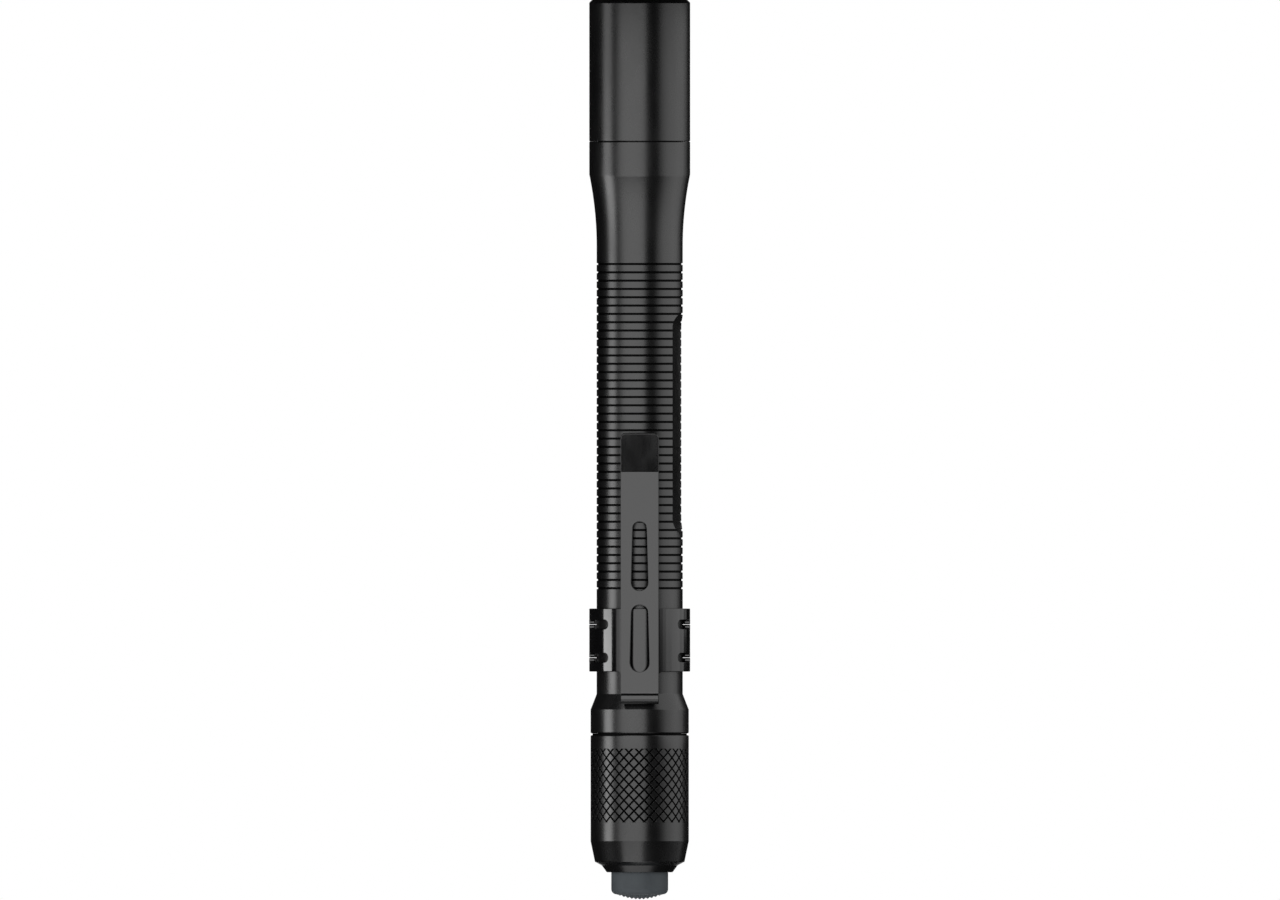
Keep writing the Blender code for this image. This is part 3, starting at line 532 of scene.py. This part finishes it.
def clip_blank(tip):
    """Outlines of the flat blank, (across, along), before it is rolled and folded.

    On each side of the arm a slit starts in a round hole at near and narrows down at wide.
    """
    slit, nook, end = SLIT_HALF, 0.25, 0.2
    r, wide = SLIT_HOLE_R, 11.746
    side = {}
    for hand, near in ((1, 5.116), (-1, 6.466)):
        points = arc(ARM_HALF + 0.7, BAND_HEIGHT + 0.7, 0.7, 180, 270, 6)
        points += arc(BAND_HALF - 0.5, BAND_HEIGHT - 0.5, 0.5, 90, 0, 5)
        for middle in SLIT_AT:
            points += arc(BAND_HALF - end, middle + slit + end, end, 0, -90, 4)
            points += arc(wide + nook, middle + slit + nook, nook, 270, 180, 5)
            points += arc(wide - 0.25, middle + r - 0.25, 0.25, 0, 90, 4)
            points += arc(near + r, middle, r, 90, 270, 14)
            points += arc(wide - 0.25, middle - r + 0.25, 0.25, 270, 360, 4)
            points += arc(wide + nook, middle - slit - nook, nook, 180, 90, 5)
            points += arc(BAND_HALF - end, middle - slit - end, end, 90, 0, 4)
        points += arc(BAND_HALF - 0.5, 0.5, 0.5, 0, -90, 5)
        side[hand] = [(hand * s, t) for s, t in points]
    corner = 0.75
    tip_arc = arc(ARM_HALF - corner, tip - corner, corner, 90, 0, 8)
    outline = tip_arc + side[1] + list(reversed(side[-1])) + [(-s, t) for s, t in reversed(tip_arc)]
    holes = []
    start = LEG_TOP + BEND_LENGTH
    top = BEND_Z + BEND_MID * sin(pi + LEAN)
    for z_high, z_low, w_high, w_low in SLOTS:
        a = start + (top - z_high) / cos(LEAN)
        b = start + (top - z_low) / cos(LEAN)
        r1, r2 = w_high / 2, w_low / 2
        holes.append(arc(0, a + r1, r1, 180, 360, 20) + arc(0, b - r2, r2, 0, 180, 20))
    return outline, holes


def flat_sheet(name, outline, holes, thickness, bevel):
    """A flat bevelled sheet with its holes, as a bmesh; one unit is a millimetre."""
    curve = bpy.data.curves.new(name, 'CURVE')
    curve.dimensions = '2D'
    curve.fill_mode = 'BOTH'
    curve.extrude = thickness / 2 - bevel
    curve.bevel_depth = bevel
    curve.bevel_resolution = 2
    curve.offset = -bevel
    for loop in [outline] + holes:
        spline = curve.splines.new('POLY')
        spline.points.add(len(loop) - 1)
        for point, (u, v) in zip(spline.points, loop):
            point.co = (u, v, 0, 1)
        spline.use_cyclic_u = True
    obj = bpy.data.objects.new(name, curve)
    bpy.context.scene.collection.objects.link(obj)
    bpy.context.view_layer.update()
    graph = bpy.context.evaluated_depsgraph_get()
    mesh = bpy.data.meshes.new_from_object(obj.evaluated_get(graph))
    bpy.data.objects.remove(obj, do_unlink=True)
    bm = bmesh.new()
    bm.from_mesh(mesh)
    bmesh.ops.remove_doubles(bm, verts=bm.verts, dist=1e-4)
    bmesh.ops.recalc_face_normals(bm, faces=bm.faces)
    return bm


def slice_sheet(bm, axis, places, limit=None):
    """Cut a flat sheet across at each place, so that it can be bent there."""
    normal = Vector((1, 0, 0)) if axis == 0 else Vector((0, 1, 0))
    for place in places:
        faces = bm.faces
        if limit is not None:
            faces = [f for f in bm.faces if min(v.co.y for v in f.verts) < limit]
        near = []
        for f in faces:
            along = [v.co[axis] for v in f.verts]
            if min(along) < place < max(along):
                near.append(f)
        geom = set(near)
        for f in near:
            geom.update(f.edges)
            geom.update(f.verts)
        if near:
            bmesh.ops.bisect_plane(bm, geom=list(geom), dist=1e-5, plane_co=normal * place,
                                   plane_no=normal)


def bend_sheet(path, s, t, n):
    """Where points of the flat sheet (across, along, through) end up, in millimetres."""
    d = np.interp(t, path[:, 0], path[:, 1])
    z = np.interp(t, path[:, 0], path[:, 2])
    heading = np.interp(t, path[:, 0], path[:, 3])
    curl = np.clip((LEG_TOP + CURL_OVER - t) / CURL_RUN, 0, 1)
    curl = curl * curl * (3 - 2 * curl)
    angle = s / CLIP_WRAP
    round_r = CLIP_MID_R + n
    x = s + curl * (round_r * np.sin(angle) - s)
    off = n + curl * round_r * (np.cos(angle) - 1)
    return np.stack([x, -d - off * np.cos(heading) + AXIS_Y, z - off * np.sin(heading)], 1)


def sheet_normals(bm):
    """Normals of the flat sheet: its two faces stay flat up to the rounded edges."""
    out = []
    for v in bm.verts:
        flat = [f.normal.z for f in v.link_faces if abs(f.normal.z) > 0.999]
        if flat:
            out.append((0, 0, 1 if flat[0] > 0 else -1))
        else:
            total = sum((f.normal * f.calc_area() for f in v.link_faces), Vector())
            out.append(tuple(total.normalized()))
    return np.array(out, float)


def make_clip():
    """The clip as one strip: its slit band round the barrel, the U-bend and the slotted arm."""
    path = clip_path()
    tip = path[-1][0]
    outline, holes = clip_blank(tip)
    bm = flat_sheet("clip_blank", outline, holes, CLIP_T, 0.1)
    bent = LEG_TOP + BEND_LENGTH
    lengths = list(np.linspace(9.9, LEG_TOP, 8)) + list(np.linspace(LEG_TOP, bent, 37)[1:])
    straight_end = len(path) - KINK_STEPS - 2
    lengths += list(np.linspace(bent, path[straight_end][0], 13)[1:])
    lengths += [row[0] for row in path[straight_end + 1:-1]]
    slice_sheet(bm, 1, lengths)
    slice_sheet(bm, 0, np.arange(-19.8, 19.9, 0.33), LEG_TOP + 2.4)
    bm.normal_update()
    flat = sheet_normals(bm)
    co = np.array([v.co for v in bm.verts])
    step = 0.01
    slopes = []
    for axis in range(3):
        move = np.zeros(3)
        move[axis] = step
        slopes.append((bend_sheet(path, *(co + move).T) - bend_sheet(path, *(co - move).T)) / step)
    turn = np.linalg.inv(np.stack(slopes, 2)).transpose(0, 2, 1)
    normals = np.einsum("nij,nj->ni", turn, flat)
    normals /= np.linalg.norm(normals, axis=1)[:, None]
    final = bend_sheet(path, *co.T) * MM
    for v, point in zip(bm.verts, final):
        v.co = point
    if bm.calc_volume(signed=True) < 0:
        bmesh.ops.reverse_faces(bm, faces=bm.faces)
        normals = -normals
    mesh = bpy.data.meshes.new("pocket_clip")
    bm.to_mesh(mesh)
    bm.free()
    mesh.materials.append(CLIP_BLACK)
    clip = bpy.data.objects.new("pocket_clip", mesh)
    bpy.context.scene.collection.objects.link(clip)
    mesh.shade_smooth()
    mesh.normals_split_custom_set_from_vertices(normals.tolist())
    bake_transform(clip)
    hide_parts("clip_band", "clip_arm")


# Tail cap -----------------------------------------------------------------------------------

def knurl_depth(share):
    """Depth of one family of knurl grooves at a place between two of them."""
    away = min(share, 1 - share) * KNURL_SPACING
    return KNURL_DEPTH * float(np.interp(away, KNURL_AWAY, KNURL_SHARE))


def knurl_mesh():
    """The knurled skin, cut along both families of grooves and trimmed: points, faces, and which
    faces get the painted groove shade.
    """
    marks = KNURL_MARKS
    n = len(marks)
    rows = int((KNURL_HIGH - KNURL_LOW) / KNURL_LONG) + 4
    low_v = (KNURL_LOW - KNURL_FIRST) / KNURL_LONG
    high_v = (KNURL_HIGH - KNURL_FIRST) / KNURL_LONG
    bm = bmesh.new()
    deep = bm.verts.layers.float.new("deep")
    index = {}

    def vert(i, j):
        key = (i, j)
        if key not in index:
            a = i // n + marks[i % n]
            b = j // n + marks[j % n]
            v = bm.verts.new(((a + b) / 2, (a - b) / 2, 0))
            v[deep] = max(knurl_depth(marks[i % n]), knurl_depth(marks[j % n]))
            index[key] = v
        return index[key]

    for cell_a in range(-2, KNURL_ROUND + rows + 2):
        for cell_b in range(-rows - 2, KNURL_ROUND + 3):
            u, v = (cell_a + cell_b + 1) / 2, (cell_a - cell_b) / 2
            if not (0 <= u - 0.25 < KNURL_ROUND) or v < low_v - 0.6 or v > high_v + 0.6:
                continue
            for i in range(cell_a * n, cell_a * n + n):
                for j in range(cell_b * n, cell_b * n + n):
                    bm.faces.new((vert(i, j), vert(i + 1, j), vert(i + 1, j + 1), vert(i, j + 1)))
    for place, side in ((low_v, -1), (high_v, 1)):
        bmesh.ops.bisect_plane(bm, geom=bm.verts[:] + bm.edges[:] + bm.faces[:], dist=1e-6,
                               plane_co=(0, place, 0), plane_no=(0, side, 0), clear_outer=True)
    rim = [e for e in bm.edges if len(e.link_faces) == 1
           and (all(abs(v.co.y - low_v) < 1e-4 for v in e.verts)
                or all(abs(v.co.y - high_v) < 1e-4 for v in e.verts))]
    skirt = bmesh.ops.extrude_edge_only(bm, edges=rim)["geom"]
    for v in skirt:
        if isinstance(v, bmesh.types.BMVert):
            v[deep] = 0.26
    for v in bm.verts:
        angle = KNURL_TURN + 2 * pi * v.co.x / KNURL_ROUND
        r = COLLAR_R - v[deep]
        height = KNURL_FIRST + KNURL_LONG * v.co.y
        v.co = (-r * sin(angle), -r * cos(angle), height)
    bmesh.ops.remove_doubles(bm, verts=bm.verts, dist=1e-3)
    bm.verts.index_update()
    verts = [tuple(v.co) for v in bm.verts]
    faces = [[v.index for v in f.verts] for f in bm.faces]
    # Faces down in the knurl grooves are marked for the painted groove shade.
    cut = [int(sum(v[deep] for v in f.verts) / len(f.verts) > 0.02) for f in bm.faces]
    bm.free()
    return verts, faces, cut


def make_tail_cap():
    """Tail cap: knurled grip between plain bands, cone, stepped end and the button's hole."""
    inner = COLLAR_R - 0.25
    seam_r, seam_z = COLLAR_R - SEAM_DEPTH, CAP_Z + SEAM_WIDTH
    corners = [(4.59, CAP_END_Z, 0.15), (5.0, CAP_END_Z, 0.12), (5.75, 131.97, 0.1),
               (6.81, 131.4, 0.12), (COLLAR_R, 128.26, 0.06), (COLLAR_R, KNURL_HIGH),
               (inner, KNURL_HIGH), (inner, KNURL_LOW), (COLLAR_R, KNURL_LOW),
               (COLLAR_R, seam_z, 0.2), (seam_r, seam_z), (seam_r, CAP_Z), (6.65, CAP_Z, 0.15),
               (6.65, 119.8), (6.3, 119.8), (6.3, 130.2), (4.59, 130.2)]
    verts, faces = lathe_mesh(rounded(corners, 5), 180)
    skin, skin_faces, cut = knurl_mesh()
    # Faces in the seam groove between collar and cap, and in the knurl grooves, get the painted
    # groove shade.
    seam = [z < seam_z + 0.005 and 6.8 < hypot(x, y) < COLLAR_R - SEAM_DEPTH / 2
            for x, y, z in verts]
    marks = [int(all(seam[i] for i in face)) for face in faces] + cut
    base = len(verts)
    verts += skin
    faces += [[base + i for i in f] for f in skin_faces]
    cap = new_object("tail_cap_knurled", verts, faces, [BLACK, GROOVE_SHADE_BLACK], marks)
    finish_shading(cap, 32)
    wear(cap, "tail_cap", "black_anodised", "tail_cap_shell")


def make_button():
    """Rubber button: rounded edge and a low dome of small studs."""
    top, dome, edge, r_out = 137.1, 0.75, 0.8, 4.32
    flat = r_out - edge
    studs, stud_depth, pitch = 3.35, 0.19, 0.61
    side = rounded([(0, 130.1), (2.3, 130.1), (2.3, 128.9), (5.39, 128.9, 0.2),
                    (5.39, 129.9, 0.2), (r_out, 129.9, 0.25), (r_out, top - dome - edge)], 4)
    for i in range(1, 9):
        a = pi / 2 * i / 8
        side.append((flat + edge * cos(a), top - dome - edge + edge * sin(a)))
    segs = 160
    rings = 56
    for i in range(1, rings + 1):
        r = flat * (1 - i / rings)
        side.append((r, top - dome * (r / flat) ** 2))
    side[-1] = (0, top)
    verts, faces = lathe_mesh(side, segs, closed=False)
    co = np.array(verts)
    r = np.hypot(co[:, 0], co[:, 1])
    on_dome = (co[:, 2] > top - dome - 0.01) & (r < studs)
    wave = 0.5 + 0.5 * np.cos(2 * pi * co[:, :2] / pitch)
    bump = wave[:, 0] * wave[:, 1]
    fade = np.clip((studs - r) / 0.15, 0, 1)
    co[:, 2] -= np.where(on_dome, (1 - bump ** 0.7) * stud_depth * fade, 0)
    button = new_object("tail_button_moulded", co, faces, [RUBBER])
    finish_shading(button, 50)
    wear(button, "button", "button_rubber", "tail_button")


# Light engine -------------------------------------------------------------------------------

def make_led():
    """LED package: ceramic base, phosphor tile and silicone dome."""
    parts = []
    for size, middle, bevel, segments in (((3.4, 3.4, 0.7), 12.75, 0.08, 3),
                                          ((1.5, 1.5, 0.12), 12.36, 0.03, 2)):
        bm = bmesh.new()
        bmesh.ops.create_cube(bm, size=1.0)
        bmesh.ops.scale(bm, vec=Vector(size), verts=bm.verts)
        bmesh.ops.translate(bm, vec=Vector((0, 0, middle)), verts=bm.verts)
        bmesh.ops.bevel(bm, geom=bm.edges[:], offset=bevel, segments=segments, profile=0.5,
                        affect='EDGES')
        bm.verts.index_update()
        parts.append(([tuple(v.co) for v in bm.verts],
                      [[v.index for v in f.verts] for f in bm.faces]))
        bm.free()
    dome = [(0, 12.41)] + [(1.38 * cos(pi / 2 * i / 14), 12.4 - 1.38 * sin(pi / 2 * i / 14))
                           for i in range(15)]
    dome[-1] = (0, 11.02)
    parts.append(lathe_mesh(dome, 48, closed=False))
    verts, faces, marks = [], [], []
    for index, (v, f) in enumerate(parts):
        faces += [[len(verts) + i for i in face] for face in f]
        marks += [index] * len(f)
        verts += v
    led = new_object("led_package_detailed", verts, faces, [CERAMIC, PHOSPHOR, SILICONE], marks)
    finish_shading(led, 40)
    wear(led, "barrel", "led_package", "led_emitter")


make_sleeve()
make_lens()
make_barrel()
make_thread()
make_oring("nose_oring_round", 6.15, 16.5, "barrel", "nose_oring")
make_oring("tail_oring_round", 6.25, 113.2, "barrel", "tail_oring")
make_clip()
make_tail_cap()
make_button()
make_led()

FINISHES = {
    "bezel_gasket": SEAL, "lens_retaining_ring": BRASS, "led_board": WHITE_BOARD,
    "led_heat_sink": ALUMINIUM, "driver_board": GREEN_BOARD, "contact_insulator": PLASTIC,
    "positive_contact": NICKEL, "cell_front_can": JACKET, "cell_front_cap": NICKEL,
    "cell_rear_can": JACKET, "cell_rear_cap": NICKEL, "tail_spring": NICKEL,
    "switch_retaining_ring": BRASS, "switch_housing": GREY, "switch_contact": BRASS,
    "switch_plunger": PLASTIC,
}
for node, mat in FINISHES.items():
    mesh = NODES[node].data
    mesh.materials.clear()
    mesh.materials.append(mat)


# Studio -------------------------------------------------------------------------------------

PIXEL = 0.000152                        # metres of the light to a pixel of the frame
FRAME_WIDTH = 1280
CLOTH = 0.012                           # what black cloth gives back
NEAR = 0.3                              # distance of the near boxes, and edge of the near floor
DOME_R = 1.5
UNDER = 0.06                            # the floor is black to here, below the light
FOOT = 0.0052                           # inside the bezel's lip
FRONT_LEVEL = 1.33
SIDE_LEVEL = 0.8
# (first azimuth, last azimuth, level at the head, level at the tail)
RIGHT_STRIPS = ((46, 54, 0.44, 0.06), (54, 62, 0.76, 0.30), (62, 78, 1.0, 0.65),
                (78, 104, 1.0, 0.85), (104, 120, 0.8, 0.58), (120, 134, 0.32, 0.0))

def ray_share(tree):
    """1 for camera, glossy and transmission rays, and 0 for the rest."""
    path = tree.nodes.new("ShaderNodeLightPath")
    total = path.outputs["Is Camera Ray"]
    for name in ("Is Glossy Ray", "Is Transmission Ray"):
        add = tree.nodes.new("ShaderNodeMath")
        add.operation = 'ADD'
        add.use_clamp = True
        tree.links.new(total, add.inputs[0])
        tree.links.new(path.outputs[name], add.inputs[1])
        total = add.outputs["Value"]
    return total


def make_world(soft):
    """White where it is seen, and a soft plain level where it lights."""
    world = bpy.data.worlds.new("studio")
    bpy.context.scene.world = world
    world.use_nodes = True
    tree = world.node_tree
    back = tree.nodes["Background"]
    back.inputs["Color"].default_value = (1, 1, 1, 1)
    tree.links.new(spread(tree, ray_share(tree), soft, 1.0, 0.0, 1.0), back.inputs["Strength"])


def stage_mesh(name, verts, faces, mat):
    """A piece of the studio, in metres."""
    mesh = bpy.data.meshes.new(name)
    mesh.from_pydata(verts, [], faces)
    mesh.materials.append(mat)
    obj = bpy.data.objects.new(name, mesh)
    bpy.context.scene.collection.objects.link(obj)
    return obj


def around(azimuth, distance, z):
    """A point at an azimuth from the camera's side, + toward the image's right."""
    a = radians(azimuth)
    return (-sin(a) * distance, AXIS_Y * MM - cos(a) * distance, z)


def make_floor():
    """Pale floor: white where it is seen, with the object's shadow, and clear from below."""
    mat = bpy.data.materials.new("pale_floor")
    mat.use_nodes = True
    tree = mat.node_tree
    tree.nodes.clear()
    out = tree.nodes.new("ShaderNodeOutputMaterial")
    diffuse = tree.nodes.new("ShaderNodeBsdfDiffuse")
    diffuse.inputs["Color"].default_value = (0.55, 0.55, 0.55, 1)
    glow = tree.nodes.new("ShaderNodeEmission")
    total = tree.nodes.new("ShaderNodeAddShader")
    gone = tree.nodes.new("ShaderNodeBsdfTransparent")
    side = tree.nodes.new("ShaderNodeNewGeometry")
    pick = tree.nodes.new("ShaderNodeMixShader")
    tree.links.new(spread(tree, ray_share(tree), 0.0, 0.8, 0.0, 1.0), glow.inputs["Strength"])
    tree.links.new(diffuse.outputs[0], total.inputs[0])
    tree.links.new(glow.outputs[0], total.inputs[1])
    tree.links.new(side.outputs["Backfacing"], pick.inputs["Fac"])
    tree.links.new(total.outputs[0], pick.inputs[1])
    tree.links.new(gone.outputs[0], pick.inputs[2])
    tree.links.new(pick.outputs[0], out.inputs["Surface"])
    verts = [(*around(a, 0.4, 0)[:2], -0.00002) for a in range(0, 360, 5)]
    stage_mesh("floor", list(reversed(verts)), [list(range(len(verts)))], mat)


def flag_look(level):
    """Black cloth, or a card that reflections see at a plain level."""
    mat, _, shader = look("flag_%03d" % round(level * 100), (0.0, 0.0, 0.0), 1.0, 0.0, 0.0)
    shader.inputs["Emission Color"].default_value = (1, 1, 1, 1)
    shader.inputs["Emission Strength"].default_value = level
    return mat


def make_flags():
    """Flags and cards that only reflections see: a black dome open at the back, and the floor."""
    verts, faces = [], []
    azimuths = list(range(-172, 173, 4))
    heights = [-12, -6, 0, 5, 10, 20, 30, 40, 50, 60, 70, 80, 90]
    for e in heights:
        for a in azimuths:
            verts.append(around(a, DOME_R * cos(radians(e)), DOME_R * sin(radians(e))))
    n = len(azimuths)
    for i in range(len(heights) - 1):
        for k in range(n - 1):
            faces.append([i * n + k, i * n + k + 1, (i + 1) * n + k + 1, (i + 1) * n + k])
    pieces = [("flag_dome", verts, faces, CLOTH)]
    sectors = [(-172, 172, CLOTH, FOOT, UNDER), (-172, -46, CLOTH, UNDER, NEAR),
               (14, 46, CLOTH, UNDER, NEAR), (134, 172, CLOTH, UNDER, NEAR),
               (-172, 172, CLOTH, NEAR, DOME_R),
               (-46, 14, FRONT_LEVEL, UNDER, NEAR), (46, 134, SIDE_LEVEL, UNDER, NEAR)]
    for start, end, level, near, far in sectors:
        steps = max(2, int((end - start) / 4))
        arc_at = [start + (end - start) * i / steps for i in range(steps + 1)]
        verts = [around(a, distance, 0.00003) for distance in (near, far) for a in arc_at]
        m = len(arc_at)
        pieces.append(("flag_floor_%d_%d" % (start + 180, near * 1000), verts,
                       [[k, k + 1, m + k + 1, m + k] for k in range(m - 1)], level))
    for name, verts, faces, level in pieces:
        flag = stage_mesh(name, verts, faces, flag_look(level))
        flag.visible_camera = False
        flag.visible_diffuse = False
        flag.visible_transmission = False
        flag.visible_volume_scatter = False
        flag.visible_shadow = False


def lamp(name, azimuth, foot, head, width, level):
    """A soft box from foot to head, each (distance, z). At level 1 it is seen as white."""
    side_a, side_b = Vector(around(azimuth, *foot)), Vector(around(azimuth, *head))
    data = bpy.data.lights.new(name, 'AREA')
    data.shape = 'RECTANGLE'
    data.size = width
    data.size_y = (side_b - side_a).length
    data.energy = pi * level * width * data.size_y
    obj = bpy.data.objects.new(name, data)
    bpy.context.scene.collection.objects.link(obj)
    a = radians(azimuth)
    across, up = Vector((cos(a), -sin(a), 0)), (side_b - side_a).normalized()
    turn = Matrix((across, up, across.cross(up))).transposed()
    obj.matrix_world = Matrix.Translation((side_a + side_b) / 2) @ turn.to_4x4()
    obj.visible_camera = False


def near_box(name, start, end, low, high, level):
    """A near soft box from one azimuth to another and from one height to another."""
    lamp(name, (start + end) / 2, (NEAR, low), (NEAR, high),
         2 * NEAR * tan(radians((end - start) / 2)), level)


def make_camera():
    """An orthographic camera that looks along +Y with the bezel at the top of the frame."""
    data = bpy.data.cameras.new("camera")
    data.type = 'ORTHO'
    data.ortho_scale = FRAME_WIDTH * PIXEL
    data.clip_start = 0.01
    data.clip_end = 30
    cam = bpy.data.objects.new("camera", data)
    bpy.context.scene.collection.objects.link(cam)
    cam.location = (-0.3 * PIXEL, AXIS_Y * MM - 1.0, 452.7 * PIXEL)
    cam.rotation_euler = (pi / 2, pi, 0)
    bpy.context.scene.camera = cam


make_world(0.5)
make_floor()
make_flags()
near_box("front_box", -46, 14, 0, 0.118, FRONT_LEVEL)
near_box("front_box_high", -46, 14, 0.118, 0.149, 1.7)
near_box("front_edge", -54.5, -46, 0, 0.149, 0.75)
lamp("top_box_low", -18.5, (0.15, 0.185), (0.09, 0.26), 0.135, 1.4)
lamp("top_box_high", -16, (0.09, 0.26), (0.005, 0.29), 0.173, 0.72)
near_box("left_box_head", -90, -67, 0, 0.027, 1.95)
near_box("left_box_low", -90, -67, 0.027, 0.092, 2.2)
near_box("left_box_middle", -90, -66.5, 0.092, 0.106, 4.5)
near_box("left_box_high", -90, -67, 0.106, 0.175, 2.8)
for start, end, low_level, high_level in RIGHT_STRIPS:
    near_box("right_box_low_%d" % start, start, end, 0, 0.097, low_level)
    near_box("right_box_high_%d" % start, start, end, 0.097, 0.193, high_level)
make_camera()
bpy.context.scene.view_settings.view_transform = 'Standard'

bpy.context.view_layer.update()
